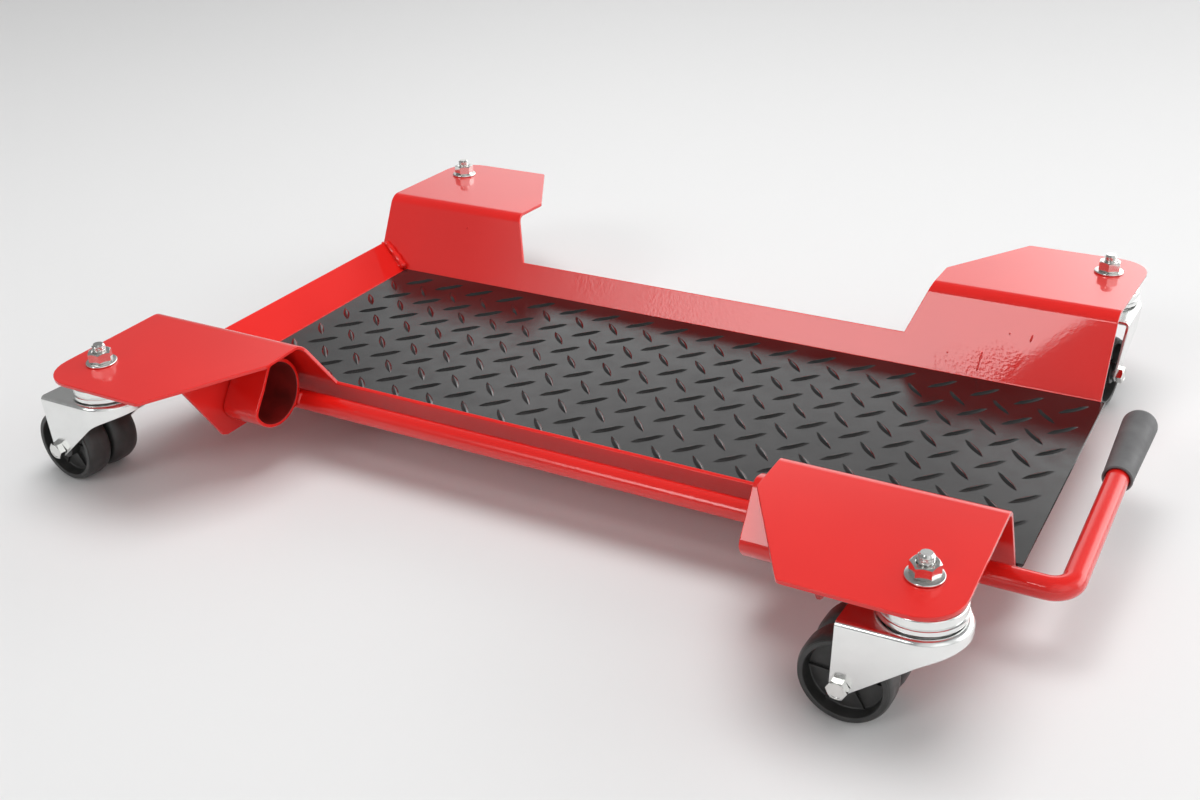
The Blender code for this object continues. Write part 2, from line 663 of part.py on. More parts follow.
def main():
    clear_scene()
    root = add_empty("dolly", (TRAY_X, 0.0, 0.0))
    build_tray(root)
    build_end_plate(root)
    build_mat(root)
    build_gussets(root)
    build_shelf_fasteners(root)
    lever = add_empty("lever_axis", (0.0, BAR_Y, BAR_Z), root)
    build_bar(lever)
    build_grip(lever)
    build_parking_tubes(lever)
    for castor in CASTORS:
        build_castor(root, *castor)


main()
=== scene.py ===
"""Looks of the rolling dolly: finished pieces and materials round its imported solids.

Metres, +Z up, +X to the lever end, +Y to the back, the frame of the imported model.
"""
import json
import math
import random

import bmesh
import bpy
from mathutils import Matrix, Vector
from mathutils.geometry import delaunay_2d_cdt


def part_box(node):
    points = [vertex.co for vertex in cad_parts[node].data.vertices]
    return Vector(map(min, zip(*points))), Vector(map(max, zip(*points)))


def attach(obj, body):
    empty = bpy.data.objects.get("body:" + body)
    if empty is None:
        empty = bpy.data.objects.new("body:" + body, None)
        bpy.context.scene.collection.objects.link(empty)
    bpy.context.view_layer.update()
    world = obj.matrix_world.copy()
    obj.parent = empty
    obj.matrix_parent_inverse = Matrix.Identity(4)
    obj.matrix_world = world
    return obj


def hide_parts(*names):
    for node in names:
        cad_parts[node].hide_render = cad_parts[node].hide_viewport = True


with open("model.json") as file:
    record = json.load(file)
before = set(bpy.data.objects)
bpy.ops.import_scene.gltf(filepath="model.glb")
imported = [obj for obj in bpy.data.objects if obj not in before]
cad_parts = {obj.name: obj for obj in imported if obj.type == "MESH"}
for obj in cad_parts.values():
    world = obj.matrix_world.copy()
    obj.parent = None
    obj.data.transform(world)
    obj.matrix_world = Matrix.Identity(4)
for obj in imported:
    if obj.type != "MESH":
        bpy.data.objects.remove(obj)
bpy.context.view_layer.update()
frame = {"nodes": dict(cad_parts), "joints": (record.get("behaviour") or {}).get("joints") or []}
JOINTS = {joint["name"]: joint for joint in frame["joints"]}

# ---- sizes ----------------
GAP = 0.0003                  # between two pieces that lie on each other
TOUCH = 0.0001                # the same for small parts
PLAY = 0.0004                 # of a bolt in its hole
SHEET = 0.003                 # tray, end plate and gussets
TRAY_LOW, TRAY_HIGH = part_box("tray_pan")
MAT_LOW, MAT_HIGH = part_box("tread_mat")
TRAY_X = (TRAY_LOW.x + TRAY_HIGH.x) / 2
TRAY_HALF = 0.350
TRAY_FLARE = 0.0033           # the shelves' ends lean out by this much
OUTER_Y = TRAY_HIGH.y
FLOOR_Z = MAT_LOW.z - GAP
FLOOR_Y = 0.1258
SHELF_Z = 0.1050
BEND_Y = 0.1590
SHELF_SLOPE = 0.0333
FLOOR_BEND_R = 0.005
SHELF_BEND_R = 0.0133
SHELF_X = 0.2012
SHELF_CHAMFER = (0.2007, 0.2000)
SHELF_SLANT_X = 0.2497
CORNER_R = 0.028
LIP_Z = 0.0663                # top of the low walls between the shelves
LIP_X = 0.1864
GUSSET_EASE = 0.0110          # the gussets stay this far from the shelf's bend
GUSSET_FOOT_Y, GUSSET_TIP_Y = 0.1340, 0.2110
END_FOOT_X = -0.3176
END_TOP = (-0.3480, 0.0633)
EDGE_R = 0.0006               # the paint rounds every cut edge

LOZENGE = (0.0140, 0.0027, 0.0015)    # half length, half width, height
LOZENGE_TILT = math.radians(47.0)
LOZENGE_PITCH = (0.0343, 0.0366)
LOZENGE_START = (0.3347, 0.0290)      # middle of one lozenge, from the tray's middle

BAR_R = 0.008
LEVER_X = 0.388
LEVER_RISE = math.radians(3.0)
ELBOW_R = 0.0145
GRIP_START = 0.138
GRIP_LENGTH = 0.086
GRIP_BASE_R = 0.0103
GRIP_TIP_R = 0.0125
GRIP_MOUTH = 0.0030           # length of its rolled mouth
GRIP_DOME = 0.0085
ARM_IN_GRIP = 0.062

TUBE_R = 0.0277
TUBE_WALL = 0.003
TUBE_FLAT = 0.0170
TUBE_ANGLE = math.radians(147.0)

WHEEL_R = 0.030
WHEEL_FACE = 0.0241
WHEEL_INNER = 0.0012
RIM_R = 0.0248
HUB_R = 0.0092
FACE_RECESS = 0.0085
RIBS = 6
RIB_HALF = 0.0007
RIB_DROP = (0.0062, 0.0070)   # below the wheel's face, at hub and rim
AXLE_R = 0.003
AXLE_FLATS = 0.0120
AXLE_HEAD_FACE = 0.0334
AXLE_END = 0.0075
AXLE_NUT_HEIGHT = 0.0050
TRAIL = 0.0365
FORK_TOP = 0.0778
FORK_SHEET = 0.0025
FORK_FRONT_R = 0.0302
FORK_REAR_X = -0.0400
FORK_HALF_WIDTH = 0.0330
FORK_FOOT_HALF_WIDTH = 0.0283
FORK_EYE_R = 0.0066
FORK_BEND_R = 0.0042
SKIRT_X, SKIRT_HEIGHT = 0.0400, 0.0062
EYE_START = 183.5             # in degrees, where the leg's round end begins
LEG_RISE = (0.0520, 0.0440)
LEG_STRAIGHT = 0.050
LEG_EASE = 0.010              # how far on the curve into the skirt is pulled
RACE_R = 0.0264
RACE_BOTTOM = 0.0789
BOLT_R = 0.005
BOLT_HEAD_R = 0.0085
THREAD_LENGTH = 0.0200
THREAD_PITCH = 0.0015
THREAD_DEPTH = 0.00092
NUT_FLATS = 0.0163
NUT_HEIGHT = 0.0080
NUT_TURNS = (9.0, 10.0, 37.0, 96.0)   # in degrees, one for each castor
WASHER_R = 0.0118
WASHER_THICKNESS = 0.0020

CASTORS = ("front_left", "front_right", "rear_left", "rear_right")


# ---- materials ----------------
def joined(tree, operation, first, second):
    """Two values put together by a Math node."""
    node = tree.nodes.new("ShaderNodeMath")
    node.operation = operation
    tree.links.new(first, node.inputs[0])
    tree.links.new(second, node.inputs[1])
    return node.outputs["Value"]


class Look:
    """A procedural material, built up in object space."""

    def __init__(self, name, colour, roughness, metallic=0.0):
        self.material = bpy.data.materials.new(name)
        self.material.use_nodes = True
        self.tree = self.material.node_tree
        self.shader = self.tree.nodes["Principled BSDF"]
        self.set("Base Color", (*colour, 1.0))
        self.set("Roughness", roughness)
        self.set("Metallic", metallic)
        self.place = self.tree.nodes.new("ShaderNodeTexCoord").outputs["Object"]

    def set(self, name, value):
        self.shader.inputs[name].default_value = value

    def link(self, output, socket):
        self.tree.links.new(output, socket)

    def drive(self, name, output):
        self.link(output, self.shader.inputs[name])

    def noise(self, scale, detail=2.0):
        node = self.tree.nodes.new("ShaderNodeTexNoise")
        node.inputs["Scale"].default_value = scale
        node.inputs["Detail"].default_value = detail
        self.link(self.place, node.inputs["Vector"])
        return node.outputs["Fac"]

    def span(self, value, start, end, low, high):
        """Map value from start..end to low..high, held at both ends."""
        node = self.tree.nodes.new("ShaderNodeMapRange")
        self.link(value, node.inputs["Value"])
        node.inputs["From Min"].default_value = start
        node.inputs["From Max"].default_value = end
        node.inputs["To Min"].default_value = low
        node.inputs["To Max"].default_value = high
        return node.outputs["Result"]

    def blend(self, factor, first, second):
        """A colour between two, by a factor."""
        node = self.tree.nodes.new("ShaderNodeMix")
        node.data_type = "RGBA"
        self.link(factor, node.inputs["Factor"])
        node.inputs["A"].default_value = (*first, 1.0)
        node.inputs["B"].default_value = (*second, 1.0)
        return node.outputs["Result"]

    def bump(self, height, distance):
        node = self.tree.nodes.new("ShaderNodeBump")
        node.inputs["Distance"].default_value = distance
        self.link(height, node.inputs["Height"])
        return node.outputs["Normal"]

    def mottle(self, first, second, start=0.3, end=0.7, **noise):
        """Let the colour drift between two."""
        tone = self.span(self.noise(**noise), start, end, 0.0, 1.0)
        self.drive("Base Color", self.blend(tone, first, second))

    def vary_roughness(self, low, high, **noise):
        self.drive("Roughness", self.span(self.noise(**noise), 0.3, 0.7, low, high))

    def grain(self, depth, **noise):
        self.drive("Normal", self.bump(self.noise(**noise), depth))


def paint_look():
    """Glossy red powder coat: smooth on top of the shelves, orange peel in patches below."""
    look = Look("red_paint", (0.70, 0.016, 0.010), 0.35)
    look.mottle((0.67, 0.009, 0.006), (0.73, 0.013, 0.009), 0.35, 0.65, scale=7.0)
    patches = look.span(look.noise(9.0, 3.0), 0.46, 0.60, 0.08, 1.0)
    split = look.tree.nodes.new("ShaderNodeSeparateXYZ")
    look.link(look.place, split.inputs["Vector"])
    below = look.span(split.outputs["Z"], 0.0930, 0.1010, 1.0, 0.02)
    spread = joined(look.tree, "MULTIPLY", patches, below)
    height = joined(look.tree, "MULTIPLY", look.noise(360.0), spread)
    peel = look.bump(height, 0.00011)
    look.drive("Normal", peel)
    look.drive("Coat Normal", peel)
    look.set("Coat Weight", 1.0)
    look.set("Coat Roughness", 0.03)
    look.set("Coat IOR", 1.5)
    look.set("Specular IOR Level", 0.2)
    return look.material


def painted_bore_shade_look():
    """Dark, dull red for the inside of a tube: painted shade that darkens the bore where shadow
    falls.
    """
    # Painted shade: a darkened copy of the red paint, for the shadowed inside of the tubes.
    look = Look("painted_bore_shade", (0.16, 0.008, 0.006), 0.5)
    look.mottle((0.11, 0.007, 0.005), (0.21, 0.010, 0.008), 0.35, 0.65, scale=60.0)
    look.grain(0.00008, scale=420.0)
    return look.material


def zinc_look(name="zinc", colour=(0.90, 0.91, 0.90), rough=(0.15, 0.27)):
    """Bright zinc plate with cloudy patches and a fine grain."""
    look = Look(name, colour, rough[0], 1.0)
    darker = tuple(channel * 0.95 for channel in colour)
    look.mottle(darker, colour, scale=90.0, detail=4.0)
    look.vary_roughness(*rough, scale=170.0, detail=4.0)
    look.grain(0.00001, scale=700.0, detail=1.0)
    return look.material


def plastic_look():
    """Black moulded plastic of the wheels, a little scuffed."""
    look = Look("wheel_plastic", (0.032, 0.032, 0.031), 0.34)
    look.mottle((0.026, 0.026, 0.025), (0.044, 0.043, 0.042), 0.35, 0.75, scale=120.0, detail=5.0)
    look.vary_roughness(0.30, 0.46, scale=260.0, detail=4.0)
    look.grain(0.00005, scale=1500.0)
    return look.material


def mat_look():
    """Dark grey mat, softly shiny, with a fine grain."""
    look = Look("mat_rubber", (0.010, 0.010, 0.010), 0.20)
    look.set("Specular IOR Level", 0.75)
    look.mottle((0.005, 0.005, 0.005), (0.013, 0.012, 0.012), 0.35, 0.70, scale=22.0, detail=4.0)
    look.vary_roughness(0.13, 0.23, scale=75.0, detail=4.0)
    look.grain(0.00005, scale=1300.0)
    return look.material


def grip_look():
    """Matt grey rubber sleeve."""
    look = Look("grip_rubber", (0.105, 0.105, 0.107), 0.55)
    look.mottle((0.085, 0.085, 0.087), (0.125, 0.125, 0.127), scale=60.0, detail=4.0)
    look.vary_roughness(0.48, 0.62, scale=140.0, detail=3.0)
    look.grain(0.00008, scale=1800.0)
    return look.material


PAINT = paint_look()
PAINTED_BORE_SHADE = painted_bore_shade_look()
ZINC = zinc_look()
NUT_ZINC = zinc_look("nut_zinc", (0.80, 0.80, 0.78), (0.10, 0.20))
PLASTIC = plastic_look()
MAT = mat_look()
RUBBER = grip_look()


# ---- mesh helpers ----------------
def face_up(data):
    """Turn an open sheet so that its largest face looks up."""
    if max(data.faces, key=lambda face: face.calc_area()).normal.z < 0:
        bmesh.ops.reverse_faces(data, faces=data.faces)


def mesh_of(name, data):
    mesh = bpy.data.meshes.new(name)
    data.to_mesh(mesh)
    data.free()
    return mesh


def new_object(name, data):
    made = bpy.data.objects.new(name, data)
    bpy.context.scene.collection.objects.link(made)
    return made


def finished(name, data, thickness=0.0, edge=0.0, steps=3, sharp=32.0, tools=()):
    """Mesh of the data: thickened downwards, cut by tools and with its edges rounded."""
    bmesh.ops.recalc_face_normals(data, faces=data.faces)
    if thickness:
        face_up(data)
    maker = new_object("maker", mesh_of(name, data))
    if thickness:
        solid = maker.modifiers.new("solid", "SOLIDIFY")
        solid.thickness = thickness
        solid.offset = -1.0
        solid.use_even_offset = True
    for tool, operation in tools:
        cut = maker.modifiers.new("cut", "BOOLEAN")
        cut.solver = "EXACT"
        cut.operation = operation
        cut.object = tool
    if edge:
        bevel = maker.modifiers.new("edge", "BEVEL")
        bevel.width = edge
        bevel.segments = steps
        bevel.limit_method = "ANGLE"
        bevel.angle_limit = math.radians(40.0)
        bevel.use_clamp_overlap = False
    graph = bpy.context.evaluated_depsgraph_get()
    made = bpy.data.meshes.new_from_object(maker.evaluated_get(graph))
    made.name = name
    bpy.data.objects.remove(maker)
    for tool, _ in tools:
        bpy.data.objects.remove(tool)
    made.shade_smooth()
    made.set_sharp_from_angle(angle=math.radians(sharp))
    return made


def tool_object(data):
    """An object for a Boolean in finished(), which removes it again."""
    bmesh.ops.recalc_face_normals(data, faces=data.faces)
    return new_object("tool", mesh_of("tool", data))


def add_piece(name, mesh, material, body, nodes=(), place=Matrix()):
    """Put a finished mesh in place, riding on a body and standing for CAD nodes."""
    piece = new_object(name, mesh)
    if not mesh.materials:
        mesh.materials.append(material)
    piece.matrix_world = place
    even = piece.modifiers.new("even", "WEIGHTED_NORMAL")
    even.keep_sharp = True
    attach(piece, body)
    if nodes:
        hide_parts(*nodes)


def bridge(data, ring, following):
    """Faces between two rings of vertices."""
    for step in range(len(ring)):
        after = (step + 1) % len(ring)
        data.faces.new((ring[step], ring[after], following[after], following[step]))


def skin(data, rings, closed):
    """Join rings of vertices in order: round to the first if closed, else with end caps."""
    pairs = list(zip(rings, rings[1:]))
    if closed:
        pairs.append((rings[-1], rings[0]))
    else:
        data.faces.new(rings[0])
        data.faces.new(rings[-1])
    for ring, following in pairs:
        bridge(data, ring, following)
    return data


def hex_reach(angle):
    """Reach of a hexagon of half width 1, at an angle from one of its corners."""
    from_corner = abs((angle + math.pi / 6) % (math.pi / 3) - math.pi / 6)
    return 1.0 / math.cos(math.pi / 6 - from_corner)


def turned(profile, segments, closed, place=Matrix(), data=None, shape=None):
    """Turn (radius, height) points about Z; shape(index, radius, height, angle) may vary them."""
    data = data or bmesh.new()
    rings = []
    for index, (radius, height) in enumerate(profile):
        ring = []
        for step in range(segments):
            angle = math.tau * step / segments
            r, z = shape(index, radius, height, angle) if shape else (radius, height)
            ring.append(data.verts.new(place @ Vector((r * math.cos(angle),
                                                       r * math.sin(angle), z))))
        rings.append(ring)
    return skin(data, rings, closed)


def arc(centre, radii, start, end, steps):
    """Points on an ellipse, from angle start to end in degrees."""
    angles = [math.radians(start + (end - start) * step / steps) for step in range(steps + 1)]
    return [(centre[0] + radii[0] * math.cos(a), centre[1] + radii[1] * math.sin(a))
            for a in angles]


def round_outline(corners, steps=8):
    """A closed outline of (x, y, radius) corners, each replaced by an arc of its radius."""
    points = [Vector((x, y)) for x, y, _ in corners]
    outline = []
    for index, (here, (_, _, radius)) in enumerate(zip(points, corners)):
        if radius == 0.0:
            outline.append(here)
            continue
        back = (points[index - 1] - here).normalized()
        ahead = (points[(index + 1) % len(points)] - here).normalized()
        half = back.angle(ahead) / 2
        centre = here + (back + ahead).normalized() * radius / math.sin(half)
        start = here + back * radius / math.tan(half) - centre
        turn = math.pi - 2 * half
        if back.x * ahead.y - back.y * ahead.x > 0:
            turn = -turn
        for step in range(steps + 1):
            outline.append(centre + start @ Matrix.Rotation(-turn * step / steps, 2))
    return outline


def prism(data, outline, place, low, high):
    """Extrude a 2-D outline; place(u, v, w) puts a point in space, w from low to high."""
    rings = [[data.verts.new(place(u, v, w)) for u, v in outline] for w in (low, high)]
    return skin(data, rings, False)


def sweep(data, stations, radii, segments):
    """Round bar along (point, direction) stations, capped at both ends."""
    rings = []
    side = stations[0][1].orthogonal().normalized()
    before = stations[0][1]
    for (point, facing), radius in zip(stations, radii):
        side = (before.rotation_difference(facing) @ side).normalized()
        before = facing
        other = facing.cross(side)
        rings.append([data.verts.new(point + (side * math.cos(a) + other * math.sin(a)) * radius)
                      for a in (math.tau * step / segments for step in range(segments))])
    return skin(data, rings, False)


def weld_bead(data, points, radius, rng):
    """Uneven bead of weld along a line of points, thin at both ends."""
    spacing = 0.0008
    ripple, swell, unevenness = 0.0115, 0.11, 0.004
    stations = []
    radii = []
    travelled = 0.0
    for start, end in zip(points, points[1:]):
        direction = end - start
        count = max(2, int(direction.length / spacing))
        for step in range(count):
            stations.append((start + direction * step / count, direction.normalized()))
            wave = math.sin(math.tau * (travelled + direction.length * step / count) / ripple)
            radii.append(radius * (1.0 + swell * wave + rng.uniform(-unevenness, unevenness)))
        travelled += direction.length
    for index, share in ((0, 0.35), (1, 0.75), (-2, 0.75), (-1, 0.35)):
        radii[index] *= share
    sweep(data, stations, radii, 14)


# ---- tray ----------------
WALL_LEAN = math.atan2(SHELF_Z - FLOOR_Z, BEND_Y - FLOOR_Y)
SHELF_TILT = math.atan(SHELF_SLOPE)


def wall_y(height):
    """Half width between the walls' inner planes at a height."""
    return FLOOR_Y + (height - FLOOR_Z) / math.tan(WALL_LEAN)


def shelf_top(y):
    return SHELF_Z - SHELF_SLOPE * (abs(y) - BEND_Y)


def notch_x(height):
    """Inner end of wall and shelf at a height."""
    return LIP_X + (SHELF_X - LIP_X) * (height - LIP_Z) / (SHELF_Z - LIP_Z)


def end_x(y):
    """Outer end of wall and shelf."""
    return TRAY_HALF + TRAY_FLARE * max(0.0, y - BEND_Y) / (OUTER_Y - BEND_Y)


def floor_bend(steps=8):
    tangent = FLOOR_BEND_R * math.tan(WALL_LEAN / 2)
    centre = (FLOOR_Y - tangent, FLOOR_Z + FLOOR_BEND_R)
    return arc(centre, (FLOOR_BEND_R, FLOOR_BEND_R), -90.0, math.degrees(WALL_LEAN) - 90.0, steps)


def shelf_bend(steps=12):
    turn = WALL_LEAN + SHELF_TILT
    along = Vector((math.cos(WALL_LEAN), math.sin(WALL_LEAN)))
    out = Vector((-along.y, along.x))
    start = Vector((BEND_Y, SHELF_Z)) - along * SHELF_BEND_R * math.tan(turn / 2)
    centre = start - out * SHELF_BEND_R
    first = 90.0 + math.degrees(WALL_LEAN)
    last = 90.0 - math.degrees(SHELF_TILT)
    return arc(centre, (SHELF_BEND_R, SHELF_BEND_R), first, last, steps)


def shelf_outline(start_y):
    """Plan of one shelf's flat part, from the bend outwards."""
    blunt = 0.004
    corners = [(notch_x(shelf_top(start_y)), start_y, 0.0), (end_x(start_y), start_y, 0.0),
               (end_x(OUTER_Y), OUTER_Y, CORNER_R), (SHELF_SLANT_X, OUTER_Y, blunt),
               (*SHELF_CHAMFER, blunt * 1.5)]
    return round_outline(corners)


def tray_sheet():
    """The folded sheet's upper surface."""
    data = bmesh.new()
    first_rows = []
    for side in (-1, 1):
        def vert(x, y, z, side=side):
            return data.verts.new((TRAY_X + x, side * y, z))

        wide = [[vert(-TRAY_HALF, y, z), vert(TRAY_HALF, y, z)] for y, z in floor_bend()]
        first_rows.append(wide[0])
        for low, high in zip(wide, wide[1:]):
            data.faces.new((low[0], low[1], high[1], high[0]))
        split = [[vert(x, wall_y(LIP_Z), LIP_Z)
                  for x in (-TRAY_HALF, -LIP_X, LIP_X, TRAY_HALF)]]
        data.faces.new((wide[-1][0], wide[-1][1], *reversed(split[0])))
        for y, z in shelf_bend():
            split.append([vert(x, y, z) for x in (-end_x(y), -notch_x(z), notch_x(z), end_x(y))])
        for low, high in zip(split, split[1:]):
            data.faces.new((low[0], low[1], high[1], high[0]))
            data.faces.new((low[2], low[3], high[3], high[2]))
        outline = shelf_outline(shelf_bend()[-1][0])[2:]
        for end, (inner, outer) in ((-1, (1, 0)), (1, (2, 3))):
            rest = [vert(end * x, y, shelf_top(y)) for x, y in outline]
            data.faces.new((split[-1][inner], split[-1][outer], *rest))
    data.faces.new((*first_rows[0], *reversed(first_rows[1])))
    return data


def build_tray():
    hole_r, reach = 0.0055, 0.02
    bolt_hole = [(hole_r, -reach), (hole_r, reach)]
    holes = bmesh.new()
    for name in CASTORS:
        turned(bolt_hole, 24, False, shelf_seat(name), holes)
    mesh = finished("tray_sheet", tray_sheet(), SHEET, EDGE_R,
                    tools=[(tool_object(holes), "DIFFERENCE")])
    add_piece("tray_sheet", mesh, PAINT, "tray", ["tray_pan"])


def end_plate_line():
    """Foot and top (x, z) of the end plate's inner face."""
    return (Vector((TRAY_X + END_FOOT_X, FLOOR_Z + GAP)),
            Vector((TRAY_X + END_TOP[0], END_TOP[1])))


def build_end_plate():
    """Leaning plate that closes the left end."""
    foot, top = end_plate_line()
    along = (top - foot).normalized()
    thick = Vector((-along.y, along.x)) * SHEET
    section = [foot, top, top + thick, foot + Vector((-SHEET / along.y, 0.0))]
    beside, edge = 0.0012, 0.0007
    data = prism(bmesh.new(), section,
                 lambda x, z, side: (x, side * (wall_y(z) - beside), z), -1, 1)
    mesh = finished("end_board", data, edge=edge)
    add_piece("end_board", mesh, PAINT, "tray", ["end_plate"])


def build_gussets():
    """Plates that stand under the shelves, against the walls."""
    under = SHEET + TOUCH
    beside = under / math.sin(WALL_LEAN)
    top_y = BEND_Y + GUSSET_EASE
    wall_z = SHELF_Z - GUSSET_EASE
    heel = 0.0008
    nose_y, nose_z = 0.005, 0.0022
    for name in CASTORS:
        low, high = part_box("gusset_" + name)
        side = 1 if low.y > 0 else -1
        outer = max(abs(low.y), abs(high.y))
        points = [(outer, shelf_top(outer) - under), (top_y, shelf_top(top_y) - under),
                  (wall_y(wall_z) + beside, wall_z), (FLOOR_Y + beside + heel, FLOOR_Z),
                  (GUSSET_FOOT_Y, low.z), (GUSSET_TIP_Y - nose_y, low.z),
                  (GUSSET_TIP_Y, low.z + nose_z)]
        data = prism(bmesh.new(), [(side * y, z) for y, z in points],
                     lambda u, v, w: (w, u, v), low.x, high.x)
        mesh = finished("gusset_plate_" + name, data, edge=EDGE_R)
        add_piece("gusset_plate_" + name, mesh, PAINT, "tray", ["gusset_" + name])


def build_tray_welds():
    """Beads in the corners where end plate, gussets and tray meet."""
    rng = random.Random(5)
    data = bmesh.new()
    inner_r, back_r, foot_r, gusset_r = 0.0031, 0.0018, 0.0015, 0.0016
    foot, top = end_plate_line()
    bulge = Vector((0.0008, 0.0, 0.0))
    back = Vector((-SHEET - 0.0020, 0.0, -0.0010))
    for side in (-1, 1):
        low = Vector((foot.x + 0.0006, side * (wall_y(FLOOR_Z) - 0.0014), FLOOR_Z + 0.0042))
        high = Vector((top.x + 0.0012, side * (wall_y(top.y) - 0.0014), top.y + 0.0004))
        weld_bead(data, [low, low.lerp(high, 0.5) + bulge, high], inner_r, rng)
        weld_bead(data, [low + back, high + back], back_r, rng)
    reach = wall_y(FLOOR_Z) - 0.004
    line = [Vector((foot.x + 0.0008, y, FLOOR_Z + 0.0012)) for y in (-reach, reach)]
    weld_bead(data, line, foot_r, rng)
    outside, beside = 0.0006, 0.0044
    for name in CASTORS:
        low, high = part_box("gusset_" + name)
        side = 1 if low.y > 0 else -1
        for x in (low.x - outside, high.x + outside):
            shelf = [Vector((x, side * y, shelf_top(y) - SHEET - outside))
                     for y in (BEND_Y + 0.014, 0.205, 0.244)]
            wall = [Vector((x, side * (wall_y(z) + beside), z)) for z in (0.050, 0.072, 0.090)]
            for line in (shelf, wall):
                weld_bead(data, line, gusset_r, rng)
    add_piece("tray_welds", finished("tray_welds", data, sharp=80.0), PAINT, "tray")


def build_runs():
    """Runs and drops of paint on the back wall's inner face."""
    rng = random.Random(11)
    data = bmesh.new()
    runs = ((0.2525, 0.062, 0.047), (0.289, 0.080, 0.074))     # x, top and foot
    drops = ((-0.2401, 0.0846), (-0.2558, 0.0869), (0.271, 0.078), (0.225, 0.057))
    run_r, drift = 0.0008, 0.0006
    for x, high, low in runs:
        points = [Vector((TRAY_X + x - drift * step, wall_y(z) - TOUCH, z))
                  for step, z in enumerate((high, (high + low) / 2, low))]
        weld_bead(data, points, run_r, rng)
    for x, z in drops:
        place = Matrix.Translation((TRAY_X + x, wall_y(z), z))
        radius = rng.uniform(0.0005, 0.0009)
        bmesh.ops.create_icosphere(data, subdivisions=2, radius=radius, matrix=place)
    add_piece("paint_runs", finished("paint_runs", data), PAINT, "tray")


# ---- mat ----------------
def lozenge_centres():
    """Middles and tilts of the raised lozenges, in two interleaved grids."""
    margin = Vector((0.006, 0.006))
    low = Vector((MAT_LOW.x, MAT_LOW.y)) + margin
    high = Vector((MAT_HIGH.x, MAT_HIGH.y)) - margin
    pitch_x, pitch_y = LOZENGE_PITCH
    columns, rows = range(-22, 3), range(-5, 5)      # more than the mat holds
    for tilt, shift in ((LOZENGE_TILT, 0.0), (-LOZENGE_TILT, 0.5)):
        for column in columns:
            for row in rows:
                x = TRAY_X + LOZENGE_START[0] + (column + shift) * pitch_x
                y = LOZENGE_START[1] + (row + shift) * pitch_y
                half_x = LOZENGE[0] * abs(math.cos(tilt))
                half_y = LOZENGE[0] * abs(math.sin(tilt))
                if low.x < x - half_x and x + half_x < high.x:
                    if low.y < y - half_y and y + half_y < high.y:
                        yield Vector((x, y)), tilt


def lozenge_ring(centre, tilt, scale, steps=8):
    """Outline of a lozenge at a scale of its width, pointed at both ends."""
    half_length, half_width, _ = LOZENGE
    length = half_length * (0.45 + 0.55 * scale)
    turn = Matrix.Rotation(tilt, 2)
    points = []
    for side in (1, -1):
        for step in range(steps):
            t = side * math.cos(math.pi * step / steps)
            point = Vector((t * length, side * half_width * scale * (1.0 - t * t)))
            points.append(centre + turn @ point)
    return points


def mat_corners(inset):
    """Corners of the mat's outline, drawn in by an inset."""
    low, high = MAT_LOW, MAT_HIGH
    return [(low.x + inset, low.y + inset), (high.x - inset, low.y + inset),
            (high.x - inset, high.y - inset), (low.x + inset, high.y - inset)]


def build_mat():
    """Tread mat: one sheet whose top is pierced by the domes of the lozenges."""
    points = [Vector(point) for point in mat_corners(0.0006)]
    loops = [list(range(4))]
    placed = list(lozenge_centres())
    for centre, tilt in placed:
        start = len(points)
        points += lozenge_ring(centre, tilt, 1.0)
        loops.append(list(range(start, len(points))))
    edges = [(loop[i], loop[(i + 1) % len(loop)]) for loop in loops for i in range(len(loop))]
    found = delaunay_2d_cdt(points, edges, [], 1, 1e-7)
    where, faces, origin = found[0], found[2], found[3]
    data = bmesh.new()
    verts = [data.verts.new((point.x, point.y, MAT_HIGH.z)) for point in where]
    own = {}
    for index, sources in enumerate(origin):
        for source in sources:
            own[source] = verts[index]
    ring_of = {own[i]: number for number, loop in enumerate(loops[1:]) for i in loop}
    for face in faces:
        numbers = {ring_of.get(verts[i]) for i in face}
        if None in numbers or len(numbers) > 1:
            data.faces.new([verts[i] for i in face])
    for loop, (centre, tilt) in zip(loops[1:], placed):
        add_dome(data, [own[i] for i in loop], centre, tilt)
    close_mat(data, [own[i] for i in range(4)])
    mesh = finished("mat_sheet", data, sharp=20.0)
    add_piece("mat_sheet", mesh, MAT, "tray", ["tread_mat"])


def add_dome(data, ring, centre, tilt):
    """Raise one lozenge from its base ring to a rounded ridge."""
    for scale, height in ((0.72, 0.46), (0.42, 0.82), (0.12, 1.0)):
        before = ring
        z = MAT_HIGH.z + LOZENGE[2] * height
        ring = [data.verts.new((*point, z)) for point in lozenge_ring(centre, tilt, scale)]
        bridge(data, before, ring)
    data.faces.new(ring)


def close_mat(data, corners):
    """Sides and underside of the mat."""
    ring = corners
    for inset, z in ((0.0, MAT_HIGH.z - 0.0005), (0.0012, MAT_LOW.z)):
        before = ring
        ring = [data.verts.new((x, y, z)) for x, y in mat_corners(inset)]
        bridge(data, ring, before)
    data.faces.new(ring)


# ---- fasteners ----------------
def nut_mesh(name, flats, height, bore_r):
    """Hexagonal nut with both faces chamfered by a shallow cone."""
    half = flats / 2
    face = half * 0.96
    slope = math.tan(math.radians(28.0))
    lip = 0.0007

    def shape(index, radius, z, angle):
        if index in (2, 3):
            reach = half * hex_reach(angle)
            drop = (reach - face) * slope
            return reach, (drop if index == 2 else height - drop)
        return radius, z

    profile = [(bore_r + lip, 0.0), (face, 0.0), (half, 0.0), (half, height), (face, height),
               (bore_r + lip, height), (bore_r, height - lip), (bore_r, lip)]
    return finished(name, turned(profile, 72, True, shape=shape), sharp=24.0)


